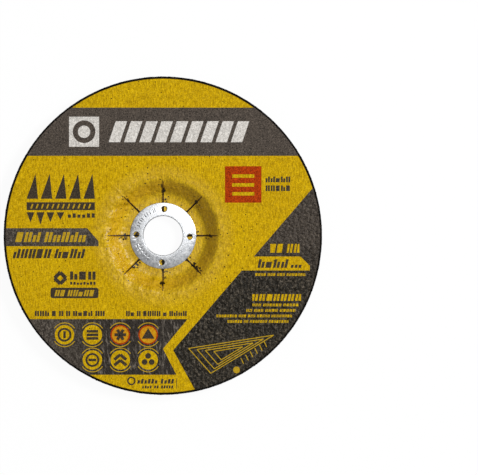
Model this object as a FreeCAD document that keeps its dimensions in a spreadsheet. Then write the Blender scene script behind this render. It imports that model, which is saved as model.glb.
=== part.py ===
import FreeCAD, Part
import math
import os
import Sketcher

# Depressed-centre cut-off wheel, 180 x 3 x 22.2 mm, lying on its back with the label up.
# The origin is on the bore axis, in the outer face of the back ring, and +Z leaves the label side.
# A pressed resin-bonded abrasive body carries a paper label in front and a paper facing behind.
# Two flanged steel rings, one collar inside the other, line the bore and hold the hub between them.

# Driving sizes in millimetres and degrees
driving = {
    # Wheel
    "wheel_radius": 90,
    "wheel_thickness": 3,
    "hub_depth": 4.6,  # set-back of the hub from the web
    # Papers
    "label_thickness": 0.3,
    "label_margin": 1,  # bare rim outside the label
    "facing_thickness": 0.3,
    "facing_margin": 1.2,  # bare rim outside the facing
    # Pressed hub from the front: flat floor, slope and web
    "floor_beyond": 3.8,  # level floor outside the ring
    "floor_bend": 4,
    "shoulder_bend": 4,
    "front_slope": 30,
    # Pressed hub from behind: flat plateau, slope and web
    "plateau_beyond": 1.3,  # how far the plateau reaches beyond the floor
    "back_bend": 6,
    "slope_extra": 5,  # how much steeper the slope is than in front
    # Slits that let the flat label sink into the hub
    "slit_count": 8,
    "slit_stop": 2.6,  # from the slits' points to the hub's brow
    "slit_opening": 1.2,  # width of a slit at the bore
    # Steel rings
    "bore_radius": 11.115,
    "flange_width": 7.6,  # from the bore to the rim of a flange
    "ring_sheet": 0.5,
    "ring_mouth": 0.35,  # turned-in mouth of the bore
    "collar_setback": 0.15,  # front collar's end above the back face
    "collar_clearance": 0.04,
    "back_collar": 1.4,  # height of the back ring's collar
    "core_clearance": 0.15,  # between the collars and the pressed hub
    # Clinching holes in the flanges
    "hole_count": 4,
    "front_hole": 1.5,
    "back_hole": 1.4,
    "hole_edge": 0.15,
    "hole_clocking": 2.5,  # clockwise from the front
    # Print
    "ink_thickness": 0.05,
    "print_margin": 0.4,  # paper left outside the print
    # Dark band
    "band_drop": 16.5,  # its upper edge inside the print's edge
    "band_height": 27.1,
    # Dark tag at the left, from the edge towards the hub, with a cut corner
    "tag_gap": 3.6,  # between the tag and the hub's brow
    "tag_top": 4.2,
    "tag_height": 10.1,
    "tag_cut_across": 6.4,
    "tag_cut_down": 7.3,
    # Dark panel at the lower left, with a waist at its right end
    "left_rise": 41.6,  # its upper edge above the print's lowest point
    "left_height": 31.3,
    "left_corner": 13.9,
    "left_waist": 0.1,
    "left_waist_down": 16.7,
    "left_foot": 7.6,
    # Round bare marks in it, the lower row one short
    "roundel_radius": 5.5,
    "roundel_pitch": 15.7,
    "roundel_edge": 10,  # first one's centre inside the print's edge
    "roundel_drop": 8.8,  # upper row below the panel's edge
    "roundel_row": 14.2,
    "roundel_columns": 4,
    # Dark panel at the lower right, from a tip at the rim to an elbow and a foot
    "right_tip_in": 4.2,  # inside the print's edge
    "right_tip_up": 26.8,
    "right_elbow_out": 5.9,
    "right_elbow_rise": 24.1,  # above the print's lowest point
    "right_foot": 19.9,
    # Bare tag in the lower right panel, with a bare bar above and one below
    "speed_drop": 11.7,
    "speed_height": 7.9,
    "speed_inset": 5.8,  # its end inside the print's edge
    "speed_cut": 5.2,
    "rate_inset": 5.8,  # before the tag's end
    "rate_length": 16.5,
    "rate_drop": 4.6,
    "rate_height": 5,
    "note_inset": 2.5,  # before the tag's end
    "note_length": 28.2,
    "note_gap": 1.5,  # below the tag
    # Bare heading and lines that end along the print's edge
    "text_margin": 2.5,
    "line_height": 1.6,
    "line_pitch": 3.1,
    "heading_drop": 32.9,
    "heading_height": 3.8,
    "heading_length": 27.5,
    "first_line_length": 25.9,
    "second_line_length": 27.6,
    "third_line_length": 42.6,
    "fourth_line_length": 34.3,
    # White block and leaning stripes on the dark band
    "block_left": -52.8,
    "block_size": 16.9,
    "stripe_gap": 5.4,  # between the block and the first stripe
    "stripe_width": 6.4,
    "stripe_pitch": 8.6,
    "stripe_height": 11.8,
    "stripe_lean": 4,
    "stripe_count": 9,
    # Red patch with bare bars, and two dark bars beside it
    "patch_gap": 2.4,  # between the patch and the hub's brow
    "patch_drop": 5.9,  # below the dark band
    "patch_size": 20.5,
    "rung_inset": 4,
    "rung_height": 2,
    "rung_pitch": 5,
    "rung_count": 3,
    "beside_gap": 2.4,
    "beside_margin": 9.5,  # their ends inside the print's edge
    "beside_height": 3.2,
    "beside_low": 6.5,  # above the patch's foot
    "beside_high": 11.5,
    # Dark row of teeth over a bar at the upper left
    "teeth_inset": 11.9,  # inside the print's edge
    "tooth_count": 5,
    "tooth_width": 6.4,
    "tooth_pitch": 8,
    "tooth_height": 14,
    "tooth_lean": 5,
    "sill_gap": 2,
    "sill_height": 4.4,
    # Dark bars in place of lines of print at the left
    "model_inset": 4,  # inside the print's edge
    "model_gap": 10.9,  # between the bar and the hub's brow
    "model_drop": 7.5,
    "model_height": 5.2,
    "plate_gap": 3.6,  # between the plate's end and the hub's brow
    "plate_length": 27,
    "plate_rise": 11.8,  # above the lower left panel
    "plate_height": 5.9,
    "size_rise": 1.7,  # above the lower left panel
    "size_height": 2.9,
    "metric_margin": 3.5,  # inside the print's edge
    "metric_length": 39.2,
    "inch_right": 13.4,
    "inch_length": 34.1,
}

# Heights and radii that follow from them
following = {
    "hub_back": "=Sizes.ring_sheet",
    "hub_floor": "=hub_back + Sizes.wheel_thickness",
    "web_back": "=hub_back + Sizes.hub_depth",
    "web_face": "=hub_floor + Sizes.hub_depth",
    "front_face": "=hub_floor + Sizes.ring_sheet",
    "label_radius": "=Sizes.wheel_radius - Sizes.label_margin",
    "facing_radius": "=Sizes.wheel_radius - Sizes.facing_margin",
    "print_radius": "=label_radius - Sizes.print_margin",
    "ring_radius": "=Sizes.bore_radius + Sizes.flange_width",
    "floor_radius": "=ring_radius + Sizes.floor_beyond",
    "back_bore": "=Sizes.bore_radius + Sizes.ring_sheet + Sizes.collar_clearance",
    "core_radius": "=back_bore + Sizes.ring_sheet + Sizes.core_clearance",
    "plateau_radius": "=floor_radius + Sizes.plateau_beyond",
    "back_slope": "=Sizes.front_slope + Sizes.slope_extra",
    "hole_circle": "=(Sizes.bore_radius + Sizes.ring_sheet + ring_radius) / 2",
    # Creases of the abrasive body under the bends of the label
    "front_crease": "=floor_radius"
    " + (Sizes.floor_bend + Sizes.label_thickness) * tan(Sizes.front_slope / 2 * 1 deg)",
    "front_brow": "=front_crease + Sizes.hub_depth / tan(Sizes.front_slope * 1 deg)",
    # Creases of the abrasive body over the crease and bend of the facing
    "back_crease": "=plateau_radius - Sizes.facing_thickness * tan(back_slope / 2 * 1 deg)",
    "back_brow": "=back_crease + Sizes.hub_depth / tan(back_slope * 1 deg)",
    # Where the web begins, and the slits' points inside it
    "hub_brow": "=floor_radius + Sizes.hub_depth / tan(Sizes.front_slope * 1 deg)"
    " + (Sizes.floor_bend + Sizes.shoulder_bend) * tan(Sizes.front_slope / 2 * 1 deg)",
    "slit_reach": "=hub_brow - Sizes.slit_stop",
    # Print
    "band_foot": "=print_radius - Sizes.band_drop - Sizes.band_height",
    "band_middle": "=band_foot + Sizes.band_height / 2",
    "stripe_left": "=Sizes.block_left + Sizes.block_size + Sizes.stripe_gap",
    "side_tag_end": "=-hub_brow - Sizes.tag_gap",
    "left_top": "=Sizes.left_rise - print_radius",
    "right_tip": "=print_radius - Sizes.right_tip_in",
    "right_elbow": "=Sizes.right_elbow_rise - print_radius",
    "speed_end": "=print_radius - Sizes.speed_inset",
    "speed_foot": "=-Sizes.speed_drop - Sizes.speed_height",
    "note_foot": "=speed_foot - Sizes.note_gap - Sizes.line_height",
    "heading_foot": "=-Sizes.heading_drop - Sizes.heading_height",
    "patch_left": "=hub_brow + Sizes.patch_gap",
    "patch_foot": "=band_foot - Sizes.patch_drop - Sizes.patch_size",
    "beside_left": "=patch_left + Sizes.patch_size + Sizes.beside_gap",
    "teeth_left": "=Sizes.teeth_inset - print_radius",
    "teeth_width": "=(Sizes.tooth_count - 1) * Sizes.tooth_pitch + Sizes.tooth_width",
    "motif_height": "=Sizes.tooth_height + Sizes.sill_gap + Sizes.sill_height",
    "sill_foot": "=(band_foot + Sizes.tag_top - motif_height) / 2",
    "teeth_foot": "=sill_foot + Sizes.sill_height + Sizes.sill_gap",
    "model_left": "=Sizes.model_inset - print_radius",
    "model_foot": "=-Sizes.model_drop - Sizes.model_height",
    "model_length": "=-model_left - hub_brow - Sizes.model_gap",
    "plate_left": "=-hub_brow - Sizes.plate_gap - Sizes.plate_length",
    "plate_foot": "=left_top + Sizes.plate_rise",
    "size_foot": "=left_top + Sizes.size_rise",
    "inch_left": "=Sizes.inch_right - Sizes.inch_length",
}


def fill_sheet(name, contents):
    """A spreadsheet with a row for each value: its name in words, and the value with its alias."""
    sheet = doc.addObject("Spreadsheet::Sheet", name)
    for row, (alias, content) in enumerate(contents.items(), 1):
        sheet.set(f"A{row}", alias.replace("_", " "))
        sheet.set(f"B{row}", str(content))
        sheet.setAlias(f"B{row}", alias)
    return sheet


doc = FreeCAD.newDocument("CutOffWheel")
sizes = fill_sheet("Sizes", driving)
levels = fill_sheet("Levels", following)
doc.recompute()


def number(expression):
    """The plain number that an expression on the sheets gives."""
    value = sizes.evalExpression(expression)
    return float(getattr(value, "Value", value))


def new_body(name):
    """A body whose label names the piece."""
    body = doc.addObject("PartDesign::Body", name)
    body.Label = name
    body.AllowCompound = True
    return body


def new_sketch(body, name, role):
    """An empty sketch on one of the body's own origin planes."""
    plane = next(item for item in body.Origin.OriginFeatures if item.Role == role)
    sketch = body.newObject("Sketcher::SketchObject", name)
    sketch.AttachmentSupport = [(plane, "")]
    sketch.MapMode = "FlatFace"
    return sketch


def dimension(sketch, kind, expression, *where):
    """A sketch dimension that follows an expression on the sheets."""
    value = number(expression)
    if kind == "Angle":
        value = math.radians(value)
    index = sketch.addConstraint(Sketcher.Constraint(kind, *where, value))
    sketch.setExpression(f"Constraints[{index}]", expression)


def point_at(sketch, edge, end, across, up):
    """Holds one end of a sketch edge at a place given by two expressions."""
    dimension(sketch, "DistanceX", across, -1, 1, edge, end)
    dimension(sketch, "DistanceY", up, -1, 1, edge, end)


def closed_outline(sketch, corners):
    """A closed outline of straight edges; each corner is a pair of expressions."""
    places = [FreeCAD.Vector(number(x), number(y), 0) for x, y in corners]
    first = sketch.GeometryCount
    for start, end in zip(places, places[1:] + places[:1]):
        sketch.addGeometry(Part.LineSegment(start, end))
    last = sketch.GeometryCount - 1
    for edge, (across, up) in enumerate(corners, first):
        before = edge - 1 if edge > first else last
        sketch.addConstraint(Sketcher.Constraint("Coincident", before, 2, edge, 1))
        point_at(sketch, edge, 1, across, up)


def rectangle(sketch, left, bottom, width, height):
    """A closed outline with two level and two upright edges."""
    right = f"{left} + {width}"
    top = f"{bottom} + {height}"
    closed_outline(sketch, [(left, bottom), (right, bottom), (right, top), (left, top)])


def inside_edge(margin, height):
    """How far out a place at that height lies when it is a margin inside the print's edge."""
    return f"sqrt((Levels.print_radius - {margin})^2 - ({height})^2)"


def edge_bar(sketch, foot, length, height):
    """A level bar whose right end lies along the print's edge."""
    left = f"{inside_edge('Sizes.text_margin', foot)} - {length}"
    rectangle(sketch, left, foot, length, height)


def circle(sketch, across, up, radius):
    """A circle about a centre given by two expressions."""
    centre = FreeCAD.Vector(number(across), number(up), 0)
    axis = FreeCAD.Vector(0, 0, 1)
    edge = sketch.addGeometry(Part.Circle(centre, axis, number(radius)))
    point_at(sketch, edge, 3, across, up)
    dimension(sketch, "Radius", radius, edge)


def crease_to_web(sketch, start, web, outer, bend, slope):
    """A slope that starts at a place, then a bend and the level web; returns the slope's index."""
    turn = math.radians(number(slope))
    radius, height = number(bend), number(web)
    slope_end_y = height - radius * (1 - math.cos(turn))
    slope_end_x = start.x + (slope_end_y - start.y) / math.tan(turn)
    slope_end = FreeCAD.Vector(slope_end_x, slope_end_y, 0)
    centre = FreeCAD.Vector(slope_end_x + radius * math.sin(turn), height - radius, 0)
    web_start = FreeCAD.Vector(centre.x, height, 0)
    web_end = FreeCAD.Vector(number(outer), height, 0)

    rise = sketch.addGeometry(Part.LineSegment(start, slope_end))
    round_part = Part.Circle(centre, FreeCAD.Vector(0, 0, 1), radius)
    arc = Part.ArcOfCircle(round_part, math.pi / 2, math.pi / 2 + turn)
    brow = sketch.addGeometry(arc)
    level = sketch.addGeometry(Part.LineSegment(web_start, web_end))
    sketch.addConstraint(Sketcher.Constraint("Tangent", rise, 2, brow, 2))
    sketch.addConstraint(Sketcher.Constraint("Tangent", brow, 1, level, 1))
    sketch.addConstraint(Sketcher.Constraint("Horizontal", level))
    dimension(sketch, "Angle", slope, rise)
    dimension(sketch, "Radius", bend, brow)
    point_at(sketch, level, 2, outer, web)
    return rise


def hub_floor(sketch, inner, knee, height):
    """The hub's level part, from the bore to its crease or bend; returns its index."""
    ends = [FreeCAD.Vector(number(across), number(height), 0) for across in (inner, knee)]
    level = sketch.addGeometry(Part.LineSegment(*ends))
    sketch.addConstraint(Sketcher.Constraint("Horizontal", level))
    point_at(sketch, level, 2, knee, height)
    dimension(sketch, "DistanceX", inner, -1, 1, level, 1)
    return level


def chain(sketch, start, corners, end):
    """Straight edges from one free end, through the corners, to another free end."""
    places = [sketch.getPoint(*start)]
    places += [FreeCAD.Vector(number(across), number(up), 0) for across, up in corners]
    places.append(sketch.getPoint(*end))
    first = sketch.GeometryCount
    free_end = start
    for here, there in zip(places, places[1:]):
        edge = sketch.addGeometry(Part.LineSegment(here, there))
        sketch.addConstraint(Sketcher.Constraint("Coincident", *free_end, edge, 1))
        free_end = (edge, 2)
    sketch.addConstraint(Sketcher.Constraint("Coincident", *free_end, *end))
    for edge, (across, up) in enumerate(corners, first):
        point_at(sketch, edge, 2, across, up)


def revolve(body, sketch):
    """Turns a section once round the wheel's axis."""
    turned = body.newObject("PartDesign::Revolution", "Turned")
    turned.Profile = sketch
    turned.ReferenceAxis = (sketch, ["V_Axis"])
    turned.Angle = 360
    doc.recompute()
    return turned


def pocket_through(body, sketch, name):
    """Cuts a closed outline out of a body, upwards from the sketch's plane."""
    before = body.Tip.Shape.Volume
    pocket = body.newObject("PartDesign::Pocket", name)
    pocket.Profile = sketch
    pocket.Type = "ThroughAll"
    pocket.Reversed = True
    doc.recompute()
    if not pocket.Shape.Volume < before:
        raise RuntimeError(f"{body.Label}: {name} cuts nothing")
    return pocket


def polar_pattern(body, feature, sketch, count):
    """Repeats a cut evenly round the wheel's axis."""
    pattern = body.newObject("PartDesign::PolarPattern", feature.Name + "Round")
    pattern.Originals = [feature]
    pattern.Axis = (sketch, ["N_Axis"])
    pattern.Angle = 360
    pattern.setExpression("Occurrences", count)
    body.Tip = pattern
    doc.recompute()
    return pattern


def circles_at(shape, radius, height):
    """Names of the round edges of that radius at that height."""
    names = []
    for index, edge in enumerate(shape.Edges, 1):
        if not isinstance(edge.Curve, Part.Circle):
            continue
        if math.isclose(edge.Curve.Radius, radius, abs_tol=1e-6):
            if math.isclose(edge.Curve.Center.z, height, abs_tol=1e-6):
                names.append(f"Edge{index}")
    return names


def break_edges(body, radius, height, size):
    """Bevels the circular edges of a body that have one radius and one height."""
    base = body.Tip
    edges = circles_at(base.Shape, number(radius), number(height))
    if not edges:
        raise RuntimeError(f"{body.Label}: no edge of radius {radius}")
    bevel = body.newObject("PartDesign::Chamfer", "Bevel")
    bevel.Base = (base, edges)
    bevel.setExpression("Size", size)
    body.Tip = bevel
    doc.recompute()


def under_label():
    """Front of the abrasive's section, from the bore to the brow of the slope."""
    floor = "Levels.hub_floor - Sizes.label_thickness"
    return [
        ("Levels.core_radius", floor),
        ("Levels.front_crease", floor),
        ("Levels.front_brow", "Levels.web_face - Sizes.label_thickness"),
    ]


def over_facing():
    """Back of the abrasive's section, from the bore to the brow of the slope."""
    plateau = "Levels.hub_back + Sizes.facing_thickness"
    return [
        ("Levels.core_radius", plateau),
        ("Levels.back_crease", plateau),
        ("Levels.back_brow", "Levels.web_back + Sizes.facing_thickness"),
    ]


def abrasive_body():
    """Pressed grain and resin: a disc of even thickness, dished at the hub."""
    body = new_body("abrasive_body")
    sketch = new_sketch(body, "BodySection", "XZ_Plane")
    corners = [
        *over_facing(),
        ("Sizes.wheel_radius", "Levels.web_back + Sizes.facing_thickness"),
        ("Sizes.wheel_radius", "Levels.web_face - Sizes.label_thickness"),
        *reversed(under_label()),
    ]
    closed_outline(sketch, corners)
    revolve(body, sketch)
    return body


def front_label():
    """Paper label that follows the front of the hub, slit so that it could sink into it."""
    body = new_body("front_label")
    sketch = new_sketch(body, "LabelSection", "XZ_Plane")
    floor = hub_floor(sketch, "Levels.core_radius", "Levels.floor_radius", "Levels.hub_floor")
    turn = math.radians(number("Sizes.front_slope"))
    radius = number("Sizes.floor_bend")
    centre = FreeCAD.Vector(number("Levels.floor_radius"), number("Levels.hub_floor") + radius, 0)
    slope_start = centre + FreeCAD.Vector(radius * math.sin(turn), -radius * math.cos(turn), 0)
    round_part = Part.Circle(centre, FreeCAD.Vector(0, 0, 1), radius)
    bend = sketch.addGeometry(Part.ArcOfCircle(round_part, -math.pi / 2, turn - math.pi / 2))
    rise = crease_to_web(
        sketch,
        start=slope_start,
        web="Levels.web_face",
        outer="Levels.label_radius",
        bend="Sizes.shoulder_bend",
        slope="Sizes.front_slope",
    )
    sketch.addConstraint(Sketcher.Constraint("Tangent", floor, 2, bend, 1))
    sketch.addConstraint(Sketcher.Constraint("Tangent", bend, 2, rise, 1))
    dimension(sketch, "Radius", "Sizes.floor_bend", bend)
    edge = ("Levels.label_radius", "Levels.web_face - Sizes.label_thickness")
    chain(sketch, (floor, 1), [*under_label(), edge], (rise + 2, 2))
    revolve(body, sketch)

    slit = new_sketch(body, "SlitOutline", "XY_Plane")
    mouth = "Levels.core_radius - Sizes.slit_opening"
    corners = [
        (mouth, "-Sizes.slit_opening / 2"),
        ("Levels.slit_reach", "0"),
        (mouth, "Sizes.slit_opening / 2"),
    ]
    closed_outline(slit, corners)
    cut = pocket_through(body, slit, "Slit")
    polar_pattern(body, cut, slit, "Sizes.slit_count")
    return body


def back_facing():
    """Black paper behind the wheel, creased at the plateau and following the slope."""
    body = new_body("back_facing")
    sketch = new_sketch(body, "FacingSection", "XZ_Plane")
    plateau = hub_floor(sketch, "Levels.core_radius", "Levels.plateau_radius", "Levels.hub_back")
    rise = crease_to_web(
        sketch,
        start=sketch.getPoint(plateau, 2),
        web="Levels.web_back",
        outer="Levels.facing_radius",
        bend="Sizes.back_bend",
        slope="Levels.back_slope",
    )
    sketch.addConstraint(Sketcher.Constraint("Coincident", plateau, 2, rise, 1))
    edge = ("Levels.facing_radius", "Levels.web_back + Sizes.facing_thickness")
    chain(sketch, (plateau, 1), [*over_facing(), edge], (rise + 2, 2))
    revolve(body, sketch)
    return body


def flanged_ring(name, bore, collar, hole, clocking):
    """A stamped steel ring, drawn with its flange's outer face down and its collar up."""
    body = new_body(name)
    section = new_sketch(body, "RingSection", "XZ_Plane")
    wall = f"{bore} + Sizes.ring_sheet"
    corners = [
        (bore, "0"),
        ("Levels.ring_radius", "0"),
        ("Levels.ring_radius", "Sizes.ring_sheet"),
        (wall, "Sizes.ring_sheet"),
        (wall, collar),
        (bore, collar),
    ]
    closed_outline(section, corners)
    revolve(body, section)
    break_edges(body, bore, "0", "Sizes.ring_mouth")

    punch = new_sketch(body, "HoleOutline", "XY_Plane")
    across = f"Levels.hole_circle * cos({clocking} * 1 deg)"
    up = f"Levels.hole_circle * sin({clocking} * 1 deg)"
    circle(punch, across, up, hole)
    cut = pocket_through(body, punch, "Hole")
    polar_pattern(body, cut, punch, "Sizes.hole_count")
    break_edges(body, hole, "0", "Sizes.hole_edge")
    return body


def front_ring():
    """The front ring's collar lines the whole bore; it lies turned over, flange on the label."""
    collar = "Levels.front_face - Sizes.collar_setback"
    turn = "Sizes.hole_clocking"
    body = flanged_ring("front_ring", "Sizes.bore_radius", collar, "Sizes.front_hole", turn)
    body.Placement.Rotation = FreeCAD.Rotation(FreeCAD.Vector(1, 0, 0), 180)
    body.setExpression("Placement.Base.z", "Levels.front_face")
    return body


def back_ring():
    """The back ring's short collar goes round the front one; the wheel lies on its flange."""
    turn = "-Sizes.hole_clocking"
    return flanged_ring("back_ring", "Levels.back_bore", "Sizes.back_collar", "Sizes.back_hole", turn)


def print_level(layer):
    """Height of the foot of a layer of print, the lowest of which lies on the label."""
    return f"Levels.web_face + {layer} * Sizes.ink_thickness"


def pad_print(body, sketch, layer):
    """Builds print up from the label face, or from the print below it."""
    pad = body.newObject("PartDesign::Pad", "Ink")
    pad.Profile = sketch
    pad.setExpression("Length", "Sizes.ink_thickness")
    body.setExpression("Placement.Base.z", print_level(layer))
    doc.recompute()
    return pad


def trimmed_to_label(name, body, layer=0):
    """Print that runs off the label is cut round at the print's edge."""
    body.Label = name + "_uncut"
    disc = doc.addObject("Part::Cylinder", "PrintedDisc")
    disc.setExpression("Radius", "Levels.print_radius")
    disc.setExpression("Height", "Sizes.ink_thickness")
    disc.setExpression("Placement.Base.z", print_level(layer))
    field = doc.addObject("Part::Common", name)
    field.Base = body
    field.Tool = disc
    field.Label = name
    return field


def band_print():
    """Dark band across the top of the label."""
    body = new_body("BandInk")
    sketch = new_sketch(body, "BandOutline", "XY_Plane")
    across = "2 * Sizes.wheel_radius"
    rectangle(sketch, "-Sizes.wheel_radius", "Levels.band_foot", across, "Sizes.band_height")
    pad_print(body, sketch, 0)
    return trimmed_to_label("band_print", body)


def side_tag_print():
    """Dark tag at the left, with its lower right end square and its upper corner cut."""
    body = new_body("TagInk")
    sketch = new_sketch(body, "TagOutline", "XY_Plane")
    foot = "Sizes.tag_top - Sizes.tag_height"
    corners = [
        ("-Sizes.wheel_radius", foot),
        ("Levels.side_tag_end", foot),
        ("Levels.side_tag_end", "Sizes.tag_top - Sizes.tag_cut_down"),
        ("Levels.side_tag_end - Sizes.tag_cut_across", "Sizes.tag_top"),
        ("-Sizes.wheel_radius", "Sizes.tag_top"),
    ]
    closed_outline(sketch, corners)
    pad_print(body, sketch, 0)
    return trimmed_to_label("side_tag_print", body)


def left_panel_print():
    """Dark panel at the lower left, with a waist in its right end and seven round bare marks."""
    body = new_body("LeftInk")
    sketch = new_sketch(body, "LeftOutline", "XY_Plane")
    foot = "Levels.left_top - Sizes.left_height"
    corners = [
        ("-Sizes.wheel_radius", foot),
        ("Sizes.left_foot", foot),
        ("Sizes.left_waist", "Levels.left_top - Sizes.left_waist_down"),
        ("Sizes.left_corner", "Levels.left_top"),
        ("-Sizes.wheel_radius", "Levels.left_top"),
    ]
    closed_outline(sketch, corners)
    pad_print(body, sketch, 0)

    rounds = new_sketch(body, "Roundels", "XY_Plane")
    upper = "Levels.left_top - Sizes.roundel_drop"
    first = f"-({inside_edge('Sizes.roundel_edge', upper)})"
    for column in range(driving["roundel_columns"]):
        across = f"{first} + {column} * Sizes.roundel_pitch"
        circle(rounds, across, upper, "Sizes.roundel_radius")
        if column > 0:
            circle(rounds, across, f"{upper} - Sizes.roundel_row", "Sizes.roundel_radius")
    pocket_through(body, rounds, "RoundelsCut")
    return trimmed_to_label("left_panel_print", body)


def right_panel_print():
    """Dark panel at the lower right, with a bare tag and bare bars in place of lines of print."""
    body = new_body("RightInk")
    sketch = new_sketch(body, "RightOutline", "XY_Plane")
    corners = [
        ("Levels.right_tip", "Sizes.right_tip_up"),
        ("Sizes.right_elbow_out", "Levels.right_elbow"),
        ("Sizes.right_foot", "-Sizes.wheel_radius"),
        ("Sizes.wheel_radius", "-Sizes.wheel_radius"),
        ("Sizes.wheel_radius", "Sizes.right_tip_up"),
    ]
    closed_outline(sketch, corners)
    pad_print(body, sketch, 0)

    marks = new_sketch(body, "BareMarks", "XY_Plane")
    tag = [
        ("Sizes.right_elbow_out", "Levels.speed_foot"),
        ("Levels.speed_end", "Levels.speed_foot"),
        ("Levels.speed_end", "-Sizes.speed_drop - Sizes.speed_cut"),
        ("Levels.speed_end - Sizes.speed_cut", "-Sizes.speed_drop"),
        ("Sizes.right_elbow_out", "-Sizes.speed_drop"),
    ]
    closed_outline(marks, tag)
    rate_foot = "-Sizes.rate_drop - Sizes.rate_height"
    rate_left = "Levels.speed_end - Sizes.rate_inset - Sizes.rate_length"
    rectangle(marks, rate_left, rate_foot, "Sizes.rate_length", "Sizes.rate_height")
    note_left = "Levels.speed_end - Sizes.note_inset - Sizes.note_length"
    rectangle(marks, note_left, "Levels.note_foot", "Sizes.note_length", "Sizes.line_height")
    edge_bar(marks, "Levels.heading_foot", "Sizes.heading_length", "Sizes.heading_height")
    for step, line in enumerate(("first", "second", "third", "fourth"), 1):
        foot = f"Levels.heading_foot - {step} * Sizes.line_pitch"
        edge_bar(marks, foot, f"Sizes.{line}_line_length", "Sizes.line_height")
    pocket_through(body, marks, "BareMarksCut")
    return trimmed_to_label("right_panel_print", body)


def white_print():
    """White marks on the dark band: a plain block and a row of leaning stripes."""
    body = new_body("WhiteInk")
    sketch = new_sketch(body, "WhiteOutline", "XY_Plane")
    block = "Sizes.block_size"
    rectangle(sketch, "Sizes.block_left", f"Levels.band_middle - {block} / 2", block, block)
    foot = "Levels.band_middle - Sizes.stripe_height / 2"
    top = "Levels.band_middle + Sizes.stripe_height / 2"
    for stripe in range(driving["stripe_count"]):
        left = f"Levels.stripe_left + {stripe} * Sizes.stripe_pitch"
        corners = [
            (left, foot),
            (f"{left} + Sizes.stripe_width", foot),
            (f"{left} + Sizes.stripe_width + Sizes.stripe_lean", top),
            (f"{left} + Sizes.stripe_lean", top),
        ]
        closed_outline(sketch, corners)
    pad_print(body, sketch, 1)
    return trimmed_to_label("white_print", body, 1)


def red_print():
    """Red patch beside the hub, with bare rungs."""
    body = new_body("red_print")
    sketch = new_sketch(body, "RedOutline", "XY_Plane")
    side = "Sizes.patch_size"
    rectangle(sketch, "Levels.patch_left", "Levels.patch_foot", side, side)
    left = "Levels.patch_left + Sizes.rung_inset"
    length = f"{side} - 2 * Sizes.rung_inset"
    for rung in range(driving["rung_count"]):
        foot = f"Levels.patch_foot + Sizes.rung_inset + {rung} * Sizes.rung_pitch"
        rectangle(sketch, left, foot, length, "Sizes.rung_height")
    pad_print(body, sketch, 0)
    return body


def dark_print():
    """Dark marks on the bare yellow: leaning teeth over a sill, and bars for lines of print."""
    body = new_body("dark_print")
    sketch = new_sketch(body, "DarkOutline", "XY_Plane")
    for tooth in range(driving["tooth_count"]):
        left = f"Levels.teeth_left + {tooth} * Sizes.tooth_pitch"
        corners = [
            (left, "Levels.teeth_foot"),
            (f"{left} + Sizes.tooth_width", "Levels.teeth_foot"),
            (f"{left} + Sizes.tooth_lean", "Levels.teeth_foot + Sizes.tooth_height"),
        ]
        closed_outline(sketch, corners)
    metric_left = f"-({inside_edge('Sizes.metric_margin', 'Levels.size_foot')})"
    low, high = (f"Levels.patch_foot + Sizes.beside_{place}" for place in ("low", "high"))
    beside_end = inside_edge("Sizes.beside_margin", f"({high} + Sizes.beside_height)")
    beside_length = f"{beside_end} - Levels.beside_left"
    bars = [
        ("Levels.teeth_left", "Levels.sill_foot", "Levels.teeth_width", "Sizes.sill_height"),
        ("Levels.model_left", "Levels.model_foot", "Levels.model_length", "Sizes.model_height"),
        ("Levels.plate_left", "Levels.plate_foot", "Sizes.plate_length", "Sizes.plate_height"),
        (metric_left, "Levels.size_foot", "Sizes.metric_length", "Sizes.size_height"),
        ("Levels.inch_left", "Levels.size_foot", "Sizes.inch_length", "Sizes.size_height"),
        ("Levels.beside_left", low, beside_length, "Sizes.beside_height"),
        ("Levels.beside_left", high, beside_length, "Sizes.beside_height"),
    ]
    for bar in bars:
        rectangle(sketch, *bar)
    pad_print(body, sketch, 0)
    return body


pieces = [
    abrasive_body(),
    front_label(),
    back_facing(),
    front_ring(),
    back_ring(),
    band_print(),
    side_tag_print(),
    left_panel_print(),
    right_panel_print(),
    white_print(),
    red_print(),
    dark_print(),
]
doc.recompute()

# Nothing is written unless every object of the document is sound
for item in doc.Objects:
    if "Invalid" in item.State or "Error" in item.State:
        raise RuntimeError(f"{item.Label} did not build: {item.State}")
for piece in pieces:
    if piece.Shape.isNull() or not piece.Shape.isValid():
        raise RuntimeError(f"{piece.Label} has no sound shape")

os.makedirs("parts", exist_ok=True)
for piece in pieces:
    piece.Shape.exportStep(f"parts/{piece.Label}.step")
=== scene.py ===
import math
import random

import bmesh
import bpy
from mathutils import Matrix, Vector


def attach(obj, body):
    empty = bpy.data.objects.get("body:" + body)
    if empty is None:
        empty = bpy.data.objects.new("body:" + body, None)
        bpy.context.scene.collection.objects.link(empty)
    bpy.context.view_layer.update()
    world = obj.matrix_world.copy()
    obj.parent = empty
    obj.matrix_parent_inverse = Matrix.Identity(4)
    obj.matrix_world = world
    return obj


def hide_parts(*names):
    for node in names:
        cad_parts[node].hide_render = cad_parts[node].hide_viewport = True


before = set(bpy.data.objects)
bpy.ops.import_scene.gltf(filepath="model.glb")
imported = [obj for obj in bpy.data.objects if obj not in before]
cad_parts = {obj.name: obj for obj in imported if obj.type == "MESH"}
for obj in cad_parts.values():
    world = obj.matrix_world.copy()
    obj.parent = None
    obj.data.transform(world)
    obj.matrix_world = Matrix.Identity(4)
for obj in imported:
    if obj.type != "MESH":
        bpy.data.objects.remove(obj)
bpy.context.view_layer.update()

# Abrasive body. Brown-black corundum grain and resin, pressed hot into a dished disc with glass
# nets inside. Only its ragged rim, the slits of the label and the edge of the bore show it.
MM = 0.001
BORE_EDGE = 12.305
WHEEL_RADIUS = 89.97
FLOOR_FRONT, WEB_FRONT = 3.2, 7.8
KNEE_FRONT, BROW_FRONT = 23.67, 31.63
FLOOR_BACK, WEB_BACK = 0.8, 5.4
KNEE_BACK, BROW_BACK = 23.72, 30.29
RIM_START = 87.6
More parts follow.
